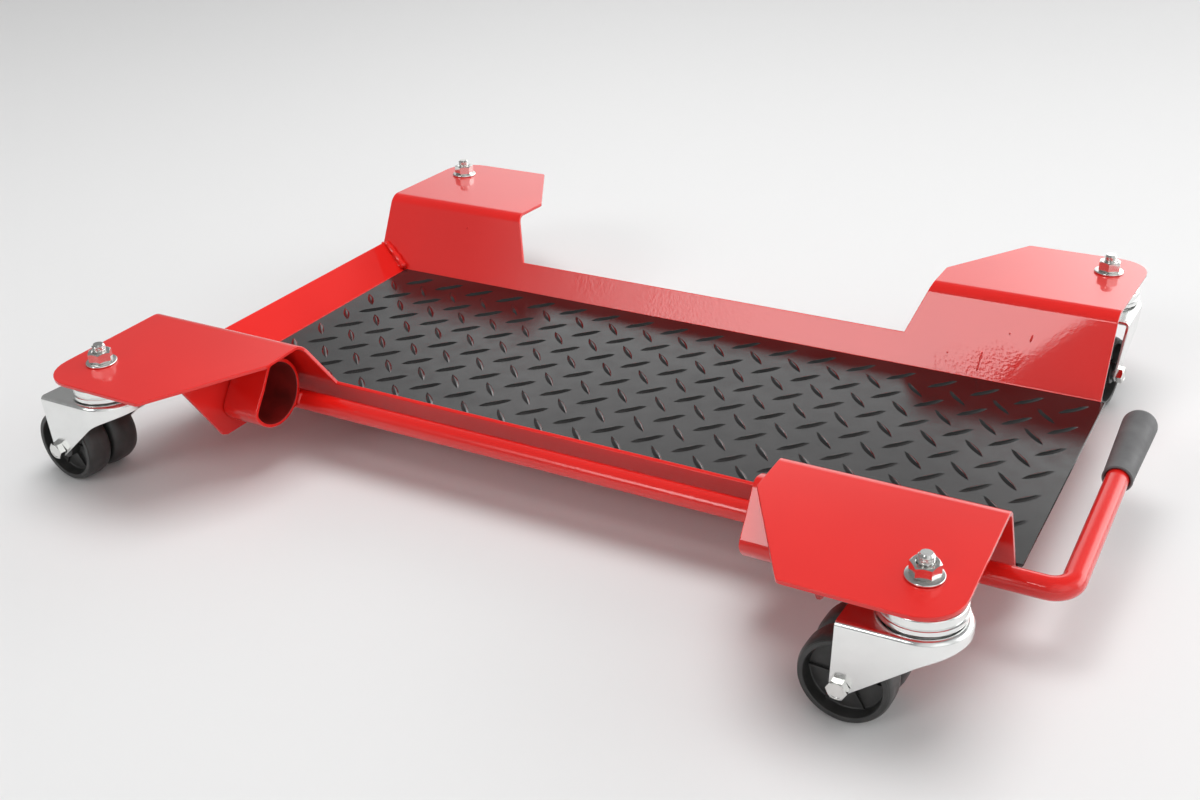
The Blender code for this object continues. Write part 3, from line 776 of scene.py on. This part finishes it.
def washer_mesh():
    bore = BOLT_R + PLAY
    low, high = 0.0, WASHER_THICKNESS
    soft = 0.0004
    profile = [(bore, low), (WASHER_R - soft, low), (WASHER_R, low + soft),
               (WASHER_R, high - soft * 1.5), (WASHER_R - soft * 1.5, high), (bore, high)]
    return finished("washer", turned(profile, 64, True), sharp=50.0)


def thread_reach(height, angle):
    """Radius of the bolt's V thread at a height and an angle."""
    phase = (height / THREAD_PITCH - angle / math.tau) % 1.0
    crest = min(1.0, max(0.0, abs(2.0 * phase - 1.0) * 1.5 - 0.25))
    return BOLT_R - THREAD_DEPTH * (1.0 - crest)


def bolt_mesh(low, high):
    """Swivel bolt: round head under the fork, plain shank, thread up to the tip."""
    head_top = low + 0.0050
    thread_low = high - THREAD_LENGTH
    rows = int((high - thread_low) / (THREAD_PITCH / 8))
    profile = [(0.0050, low), (0.0074, low + 0.0006), (BOLT_HEAD_R, low + 0.0020),
               (BOLT_HEAD_R, low + 0.0046), (BOLT_HEAD_R - 0.0004, head_top),
               (BOLT_R, head_top), (BOLT_R, thread_low - 0.001)]
    threaded = len(profile)
    thread_high = high - 0.0009
    profile += [(BOLT_R, thread_low + (thread_high - thread_low) * row / rows)
                for row in range(rows + 1)]
    profile.append((BOLT_R - 0.0013, high))

    def shape(index, radius, z, angle):
        if threaded <= index < len(profile) - 1:
            radius = min(thread_reach(z, angle), BOLT_R - 0.0005 + (thread_high - z))
        return radius, z

    return finished("swivel_stud", turned(profile, 36, False, shape=shape), sharp=30.0)


def shelf_seat(name):
    """Place on a shelf's sloping top, over a castor's axis."""
    pivot = Vector(JOINTS["swivel_turn_" + name]["pos_m"])
    side = math.copysign(1.0, pivot.y)
    return (Matrix.Translation((pivot.x, pivot.y, shelf_top(pivot.y)))
            @ Matrix.Rotation(-side * SHELF_TILT, 4, "X"))


def build_fasteners():
    washer = washer_mesh()
    nut = nut_mesh("nut", NUT_FLATS, NUT_HEIGHT, BOLT_R + TOUCH)
    for name, turn in zip(CASTORS, NUT_TURNS):
        seat = shelf_seat(name) @ Matrix.Translation((0.0, 0.0, TOUCH))
        add_piece("shelf_washer_" + name, washer, NUT_ZINC, "tray",
                  ["washer_" + name], seat)
        top = (seat @ Matrix.Translation((0.0, 0.0, WASHER_THICKNESS + TOUCH))
               @ Matrix.Rotation(math.radians(turn), 4, "Z"))
        add_piece("shelf_nut_" + name, nut, NUT_ZINC, "tray", ["nut_" + name], top)


# ---- lever ----------------
LEVER_AXIS = Vector(JOINTS["lever_park"]["pos_m"])
LEVER_CORNER = Vector((TRAY_X + LEVER_X, LEVER_AXIS.y, LEVER_AXIS.z))
ARM = Vector((0.0, math.cos(LEVER_RISE), math.sin(LEVER_RISE)))
ALONG = Vector((1.0, 0.0, 0.0))


def build_bar():
    low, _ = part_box("lever_bar")
    start = Vector((low.x, LEVER_AXIS.y, LEVER_AXIS.z))
    centre = LEVER_CORNER + (ARM - ALONG) * ELBOW_R
    soft = 0.0008
    stations = [(start, ALONG), (start + ALONG * soft, ALONG)]
    steps = 18
    for step in range(steps + 1):
        angle = math.pi / 2 * step / steps
        facing = ALONG * math.cos(angle) + ARM * math.sin(angle)
        outward = ALONG * math.sin(angle) - ARM * math.cos(angle)
        stations.append((centre + outward * ELBOW_R, facing))
    stations.append((LEVER_CORNER + ARM * (GRIP_START + ARM_IN_GRIP), ARM))
    radii = [BAR_R - soft] + [BAR_R] * (len(stations) - 1)
    data = sweep(bmesh.new(), stations, radii, 40)
    add_piece("lever_rod", finished("lever_rod", data), PAINT, "lever", ["lever_bar"])


def build_grip():
    """Tapered sleeve: rolled mouth, straight taper, domed end."""
    place = (Matrix.Translation(LEVER_CORNER + ARM * GRIP_START)
             @ Vector((0.0, 0.0, 1.0)).rotation_difference(ARM).to_matrix().to_4x4())
    bore = BAR_R + 0.0002
    straight = GRIP_LENGTH - GRIP_DOME
    profile = [(bore, ARM_IN_GRIP + 0.0005), (bore, 0.0010), (bore + 0.0006, 0.0002)]
    profile += arc((GRIP_BASE_R - 0.0010, 0.0010), (0.0012, 0.0010), -90.0, 0.0, 5)
    profile += [(GRIP_BASE_R, GRIP_MOUTH)]
    rows = 8
    for row in range(1, rows + 1):
        share = row / rows
        profile.append((GRIP_BASE_R + (GRIP_TIP_R - GRIP_BASE_R) * share,
                        GRIP_MOUTH + (straight - GRIP_MOUTH) * share))
    profile += arc((0.0, straight), (GRIP_TIP_R, GRIP_DOME), 8.0, 84.0, 9)
    data = turned(profile, 48, False, place)
    mesh = finished("grip_sleeve", data, sharp=60.0)
    add_piece("grip_sleeve", mesh, RUBBER, "lever", ["lever_grip"])


def tube_outline(radius, flat, steps=72):
    """Circle pressed in on one side, with soft corners and a slightly hollow flat."""
    softness, hollow = 16.0, 0.0007
    points = []
    for step in range(steps):
        angle = math.tau * step / steps
        reach = radius
        lean = math.cos(angle)
        if lean > 0.05:
            across = min(1.0, abs(math.tan(angle)))
            pressed = (flat - hollow * (1.0 - across)) / lean
            reach = (radius ** -softness + pressed ** -softness) ** (-1.0 / softness)
        points.append((reach * math.cos(angle + TUBE_ANGLE), reach * math.sin(angle + TUBE_ANGLE)))
    return points


def build_tubes():
    """Parking tubes, laid against the bar, with painted shade in the bore."""
    away = Vector((math.cos(TUBE_ANGLE), math.sin(TUBE_ANGLE)))
    middle = away * (TUBE_R + BAR_R + TOUCH) + LEVER_AXIS.yz
    outer = tube_outline(TUBE_R, TUBE_FLAT)
    inner = tube_outline(TUBE_R - TUBE_WALL, TUBE_FLAT - TUBE_WALL)
    for name in ("left", "right"):
        low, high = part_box("parking_tube_" + name)
        data = bmesh.new()
        rings = [[data.verts.new((x, middle.x + y, middle.y + z)) for y, z in outline]
                 for outline, x in ((outer, low.x), (outer, high.x), (inner, high.x),
                                    (inner, low.x))]
        mesh = finished("pressed_tube_" + name, skin(data, rings, True), edge=0.0007)
        mesh.materials.append(PAINT)
        mesh.materials.append(PAINTED_BORE_SHADE)
        # Faces in the bore take the darker second material: painted shade inside the tube.
        for face in mesh.polygons:
            outward = Vector(face.center).yz - middle
            in_bore = outward.dot(face.normal.yz) < -0.5 * outward.length
            face.material_index = int(in_bore)
        add_piece("pressed_tube_" + name, mesh, PAINT, "lever",
                  ["parking_tube_" + name])


def build_lever_welds():
    """Beads where each tube lies on the bar: on both sides, and across three of the ends."""
    rng = random.Random(3)
    side_r, end_r = 0.0030, 0.0021
    side_reach, end_reach = 0.0060, 0.0055
    data = bmesh.new()
    out = Vector((0.0, math.cos(TUBE_ANGLE), math.sin(TUBE_ANGLE)))
    across = Vector((0.0, -out.z, out.y))
    contact = LEVER_AXIS + out * (BAR_R - 0.0009)
    for name in ("left", "right"):
        low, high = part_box("parking_tube_" + name)
        for side in (-1, 1):
            line = [Vector((x, contact.y, contact.z)) + across * side * side_reach
                    for x in (low.x + 0.0008, high.x - 0.0008)]
            weld_bead(data, line, side_r, rng)
        ends = [high.x + 0.0006]
        if name == "right":
            ends.append(low.x - 0.0006)
        for x in ends:
            line = [Vector((x, contact.y, contact.z)) + across * reach
                    for reach in (-end_reach, 0.0, end_reach)]
            weld_bead(data, line, end_r, rng)
    add_piece("lever_welds", finished("lever_welds", data, sharp=80.0), PAINT, "lever")


# ---- castors ----------------
def castor_place(name):
    """Castor's own frame: origin on the floor under its pivot, wheels towards -X."""
    pivot = JOINTS["swivel_turn_" + name]["pos_m"]
    axle = JOINTS["spin_" + name + "_outer"]["axis"]
    return (Matrix.Translation((pivot[0], pivot[1], 0.0))
            @ Matrix.Rotation(math.atan2(-axle[0], axle[1]), 4, "Z"))


def fork_stations(steps=20):
    """Plan of the fork: (point, outward normal) from one rear corner to the other."""
    rear = Vector((FORK_REAR_X, FORK_HALF_WIDTH))
    touch = math.atan2(rear.y, rear.x) - math.acos(FORK_FRONT_R / rear.length)
    angles = [touch * (1.0 - 2.0 * step / steps) for step in range(steps + 1)]
    normals = [Vector((math.cos(a), math.sin(a))) for a in angles]
    plan = [(normal * FORK_FRONT_R, normal) for normal in normals]
    first = (rear, normals[0])
    last = (Vector((rear.x, -rear.y)), normals[-1])
    return [first] + plan + [last]


def leg_profile(steps=12):
    """(x, z) of the fork's lower edge: round the axle, up the leg and along the skirt."""
    rise = Vector(LEG_RISE).normalized()
    away = Vector((rise.y, -rise.x))
    axle = Vector((-TRAIL, WHEEL_R))
    last = 360.0 + math.degrees(math.atan2(away.y, away.x))
    eye = [Vector(point) for point in arc(axle, (FORK_EYE_R, FORK_EYE_R), EYE_START, last, steps)]
    line_end = eye[-1] + rise * LEG_STRAIGHT
    handle = line_end + rise * LEG_EASE
    skirt = Vector((SKIRT_X, FORK_TOP - SKIRT_HEIGHT))
    curve = [line_end * (1 - t) ** 2 + handle * 2 * t * (1 - t) + skirt * t * t
             for t in (step / steps for step in range(steps + 1))]
    return eye, curve


def height_at(points, x):
    """Height of a line of points at x."""
    for start, end in zip(points, points[1:]):
        if start.x <= x <= end.x:
            return start.y + (end.y - start.y) * (x - start.x) / (end.x - start.x)
    return points[0].y if x < points[0].x else points[-1].y


def fork_sheet():
    """Outer surface of the pressed fork: top plate, rounded bend, legs and skirt."""
    data = bmesh.new()
    lean = (FORK_HALF_WIDTH - FORK_FOOT_HALF_WIDTH) / (FORK_TOP - WHEEL_R)

    def vert(x, y, z):
        return data.verts.new((x, y * (1.0 - lean * (FORK_TOP - z) / FORK_HALF_WIDTH), z))

    stations = fork_stations()
    rows = []
    steps = 6
    for step in range(steps + 1):
        angle = math.pi / 2 * step / steps
        inset = FORK_BEND_R * (1.0 - math.sin(angle))
        z = FORK_TOP - FORK_BEND_R * (1.0 - math.cos(angle))
        row = []
        for index, (point, normal) in enumerate(stations):
            moved = point - normal * inset
            x = FORK_REAR_X if index in (0, len(stations) - 1) else moved.x
            row.append(vert(x, moved.y, z))
        rows.append(row)
    data.faces.new(rows[0])
    for row, following in zip(rows, rows[1:]):
        for index in range(len(stations) - 1):
            data.faces.new((row[index], row[index + 1], following[index + 1], following[index]))
    eye, curve = leg_profile()
    lower = eye[-1:] + curve
    bottom = [vert(point.x, point.y, height_at(lower, point.x)) for point, _ in stations[1:-1]]
    last = rows[-1]
    for index in range(len(bottom) - 1):
        data.faces.new((last[index + 1], last[index + 2], bottom[index + 1], bottom[index]))
    touch_x, touch_y = stations[1][0]
    slope = (FORK_HALF_WIDTH - touch_y) / (FORK_REAR_X - touch_x)
    inner_curve = [point for point in curve if point.x < touch_x - 0.0005]
    for side, rear, top, end in ((1, last[0], last[1], bottom[0]),
                                 (-1, last[-1], last[-2], bottom[-1])):
        leg = [vert(p.x, side * (touch_y + slope * (p.x - touch_x)), p.y)
               for p in eye + inner_curve]
        data.faces.new([top, rear] + leg + [end])
    return data


def upper_race_mesh(name):
    """Bearing cup: a step below the shelf, then a wide rolled band."""
    pivot_y = JOINTS["swivel_turn_" + name]["pos_m"][1]
    under = shelf_top(pivot_y) - SHEET - 0.0002
    side = math.copysign(1.0, pivot_y)
    bore = BOLT_R + PLAY
    z = RACE_BOTTOM
    profile = [(bore, under), (RACE_R - 0.0034, under), (RACE_R - 0.0029, under - 0.0006),
               (RACE_R - 0.0027, z + 0.0122)]
    profile += arc((RACE_R - 0.0012, z + 0.0122), (0.0014, 0.0014), 180.0, 262.0, 4)[1:]
    profile += arc((RACE_R - 0.0015, z + 0.0092), (0.0015, 0.0016), 88.0, 0.0, 5)
    profile += [(RACE_R, z + 0.0056), (RACE_R - 0.0009, z + 0.0049), (RACE_R - 0.0009, z + 0.0044),
                (RACE_R + 0.0004, z + 0.0037), (RACE_R + 0.0004, z + 0.0020)]
    profile += arc((RACE_R - 0.0010, z + 0.0014), (0.0014, 0.0014), 0.0, -90.0, 6)
    profile += [(RACE_R - 0.0034, z + 0.0004), (RACE_R - 0.0044, z + 0.0058),
                (bore, z + 0.0058)]

    def shape(_, radius, height, angle):
        if height > under - TOUCH:
            height -= SHELF_SLOPE * radius * math.sin(angle) * side
        return radius, height

    return finished("cup_" + name, turned(profile, 72, True, shape=shape), sharp=40.0)


def wheel_mesh():
    """One wheel, its recessed outer face towards +Z, with ribs between hub and rim."""
    bore = AXLE_R + 0.0003
    floor = WHEEL_FACE - FACE_RECESS
    profile = [(bore, WHEEL_INNER), (WHEEL_R - 0.0044, WHEEL_INNER)]
    profile += arc((WHEEL_R - 0.0040, WHEEL_INNER + 0.0090), (0.0040, 0.0086), -75.0, 0.0, 8)
    profile += arc((WHEEL_R - 0.0026, WHEEL_FACE - 0.0062), (0.0026, 0.0056), 0.0, 70.0, 8)
    profile += arc((WHEEL_R - 0.0024, WHEEL_FACE - 0.0010), (0.0010, 0.0010), 40.0, 90.0, 3)
    profile += [(RIM_R + 0.0008, WHEEL_FACE)]
    profile += arc((RIM_R + 0.0008, WHEEL_FACE - 0.0008), (0.0008, 0.0008), 100.0, 180.0, 4)
    profile += [(RIM_R - 0.0008, floor + 0.0012)]
    profile += arc((RIM_R - 0.0020, floor + 0.0012), (0.0012, 0.0012), 0.0, -90.0, 3)[1:]
    profile += [(HUB_R + 0.0012, floor), (HUB_R, floor + 0.0010), (HUB_R - 0.0002, WHEEL_FACE),
                (HUB_R - 0.0008, WHEEL_FACE + 0.0004), (bore, WHEEL_FACE + 0.0004)]
    ribs = bmesh.new()
    sunk = 0.001
    outline = [(HUB_R - sunk, floor - sunk), (RIM_R, floor - sunk),
               (RIM_R, WHEEL_FACE - RIB_DROP[1]), (HUB_R - sunk, WHEEL_FACE - RIB_DROP[0])]
    for index in range(RIBS):
        turn = Matrix.Rotation(math.tau * index / RIBS, 4, "Z")
        prism(ribs, outline, lambda u, v, w, turn=turn: turn @ Vector((u, w, v)),
              -RIB_HALF, RIB_HALF)
    return finished("wheel", turned(profile, 96, True), sharp=35.0,
                    tools=[(tool_object(ribs), "UNION")])


def axle_mesh(leg_face):
    """Axle bolt with a chamfered hexagonal head towards +Z."""
    half = AXLE_FLATS / 2
    face = half * 0.93
    end = -leg_face - AXLE_END
    profile = [(AXLE_R - 0.0006, end), (AXLE_R, end + 0.0006), (AXLE_R, leg_face),
               (half, leg_face), (half, AXLE_HEAD_FACE), (face, AXLE_HEAD_FACE),
               (face * 0.86, AXLE_HEAD_FACE), (face * 0.80, AXLE_HEAD_FACE - 0.0002)]

    def shape(index, radius, z, angle):
        if index in (3, 4):
            reach = half * hex_reach(angle)
            drop = (reach - face) * math.tan(math.radians(30.0))
            return reach, (z if index == 3 else z - drop)
        return radius, z

    return finished("axle_screw", turned(profile, 72, False, shape=shape), sharp=22.0)


def build_castors():
    fork = finished("pressed_fork", fork_sheet(), FORK_SHEET, 0.0005, 2)
    wheel = wheel_mesh()
    leg_face = FORK_FOOT_HALF_WIDTH + TOUCH
    axle = axle_mesh(leg_face)
    axle_nut = nut_mesh("axle_nut", AXLE_FLATS, AXLE_NUT_HEIGHT, AXLE_R + TOUCH)
    low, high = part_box("swivel_bolt_front_left")
    stud = bolt_mesh(low.z, high.z)
    for name in CASTORS:
        body = "swivel_" + name
        place = castor_place(name)
        upright = Matrix.Translation(place.translation)
        add_piece("stud_" + name, stud, NUT_ZINC, "tray", ["swivel_bolt_" + name], upright)
        add_piece("bearing_cup_" + name, upper_race_mesh(name), ZINC, "tray",
                  ["upper_race_" + name], upright)
        add_piece("pressed_fork_" + name, fork, ZINC, body, ["fork_" + name], place)
        at_axle = place @ Matrix.Translation((-TRAIL, 0.0, WHEEL_R))
        head = at_axle @ Matrix.Rotation(math.pi / 2, 4, "X")
        add_piece("axle_screw_" + name, axle, NUT_ZINC, body, ["axle_bolt_" + name], head)
        nut_at = head @ Matrix.Translation((0.0, 0.0, -leg_face - AXLE_NUT_HEIGHT - TOUCH))
        add_piece("locking_nut_" + name, axle_nut, NUT_ZINC, body,
                  ["axle_nut_" + name], nut_at)
        for which, side in (("outer", -1), ("inner", 1)):
            node = "wheel_%s_%s" % (name, which)
            turn = Matrix.Rotation(-side * math.pi / 2, 4, "X")
            add_piece("tyre_%s_%s" % (name, which), wheel, PLASTIC, node,
                      [node], at_axle @ turn)
        for kept in ("lower_race_", "ball_ring_"):
            node = frame["nodes"][kept + name]
            node.data.materials.clear()
            node.data.materials.append(ZINC)


# ---- stage ----------------
FLOOR_HALF = 9.0
FLOOR_GREY = 0.76


def build_floor():
    """Pale floor that is clear from below."""
    data = bmesh.new()
    bmesh.ops.create_grid(data, x_segments=1, y_segments=1, size=FLOOR_HALF)
    floor = new_object("floor", mesh_of("floor", data))
    look = Look("floor", (FLOOR_GREY, FLOOR_GREY, FLOOR_GREY), 0.55)
    tree = look.tree
    below = tree.nodes.new("ShaderNodeNewGeometry").outputs["Backfacing"]
    clear = tree.nodes.new("ShaderNodeBsdfTransparent").outputs["BSDF"]
    choose = tree.nodes.new("ShaderNodeMixShader")
    look.link(below, choose.inputs["Fac"])
    look.link(look.shader.outputs["BSDF"], choose.inputs[1])
    look.link(clear, choose.inputs[2])
    look.link(choose.outputs["Shader"], tree.nodes["Material Output"].inputs["Surface"])
    floor.data.materials.append(look.material)


SOFTBOX_AT = Vector((0.1, 0.2, 2.4))
SOFTBOX_AIM = Vector((0.0, 0.0, 0.05))
SOFTBOX_SIZE = (1.8, 1.5)
SOFTBOX_POWER = 40.0


def add_softbox():
    """A lamp above, for soft shadows: it isn't mirrored in anything."""
    light = bpy.data.lights.new("top_box", "AREA")
    light.shape = "RECTANGLE"
    light.size, light.size_y = SOFTBOX_SIZE
    light.energy = SOFTBOX_POWER
    lamp = new_object("top_box", light)
    lamp.location = SOFTBOX_AT
    lamp.rotation_mode = "QUATERNION"
    lamp.rotation_quaternion = (SOFTBOX_AT - SOFTBOX_AIM).to_track_quat("Z", "Y")
    lamp.visible_glossy = False


BACKDROP = 0.86                 # the plain wall that is seen past the floor
UP = (0.0, 0.0, 1.0)
FRONT = (0.0, -1.0, 0.0)
RIGHT = (1.0, 0.0, 0.0)
PANELS = (                      # radiance, then its soft edges: (direction, from, to)
    (0.26, ()),
    (0.85, ((RIGHT, -0.70, -0.50), (UP, 0.60, 0.46), (FRONT, -0.1, -0.3))),
    (1.30, ((RIGHT, -0.25, -0.05), (UP, 0.58, 0.42), (FRONT, -0.1, -0.3))),
    (5.60, ((RIGHT, -0.55, -0.35), ((1.0, 0.0, -1.0), -0.655, -0.665), (UP, 0.30, 0.36),
            (UP, 0.64, 0.60), (FRONT, 0.1, 0.3))),
    (0.45, ((RIGHT, 0.5, 0.7), (UP, 0.0, 0.1))),
    (0.45, ((RIGHT, 0.1, 0.3), (FRONT, 0.1, 0.3), (UP, 0.0, 0.1))),
)


def build_light():
    """A studio: soft-edged bright panels all round, and a plain wall for the camera."""
    world = bpy.data.worlds.new("studio")
    world.use_nodes = True
    tree = world.node_tree
    place = tree.nodes.new("ShaderNodeTexCoord").outputs["Generated"]
    total = None
    for radiance, edges in PANELS:
        level = tree.nodes.new("ShaderNodeValue").outputs["Value"]
        level.default_value = radiance
        for direction, start, end in edges:
            towards = tree.nodes.new("ShaderNodeVectorMath")
            towards.operation = "DOT_PRODUCT"
            towards.inputs[1].default_value = direction
            tree.links.new(place, towards.inputs[0])
            edge = tree.nodes.new("ShaderNodeMapRange")
            edge.interpolation_type = "SMOOTHSTEP"
            edge.inputs["From Min"].default_value = start
            edge.inputs["From Max"].default_value = end
            tree.links.new(towards.outputs["Value"], edge.inputs["Value"])
            level = joined(tree, "MULTIPLY", level, edge.outputs["Result"])
        total = joined(tree, "ADD", total, level) if total else level
    background = tree.nodes["Background"]
    background.inputs["Color"].default_value = (1.0, 1.0, 1.0, 1.0)
    seen = tree.nodes.new("ShaderNodeMix")
    tree.links.new(tree.nodes.new("ShaderNodeLightPath").outputs["Is Camera Ray"],
                   seen.inputs["Factor"])
    tree.links.new(total, seen.inputs["A"])
    seen.inputs["B"].default_value = BACKDROP
    tree.links.new(seen.outputs["Result"], background.inputs["Strength"])
    bpy.context.scene.world = world


CAMERA_AT = (TRAY_X + 0.4972, -0.9009, 0.5565)
CAMERA_FACING = Vector((-0.4471, 0.7685, -0.4578))
CAMERA_ROLL = math.radians(-2.17)
CAMERA_LENS = 42.03             # in mm, for a sensor 36 mm wide


def build_camera():
    """Seen from the front right, a little above."""
    data = bpy.data.cameras.new("camera")
    data.lens = CAMERA_LENS
    data.sensor_width = 36.0
    camera = new_object("camera", data)
    camera.location = CAMERA_AT
    camera.rotation_mode = "QUATERNION"
    aim = CAMERA_FACING.to_track_quat("-Z", "Y")
    roll = Matrix.Rotation(CAMERA_ROLL, 3, "Z").to_quaternion()
    camera.rotation_quaternion = aim @ roll
    bpy.context.scene.camera = camera


build_tray()
build_end_plate()
build_gussets()
build_tray_welds()
build_runs()
build_mat()
build_fasteners()
build_bar()
build_grip()
build_tubes()
build_lever_welds()
build_castors()
build_floor()
add_softbox()
build_light()
build_camera()
bpy.context.scene.view_settings.view_transform = "Standard"
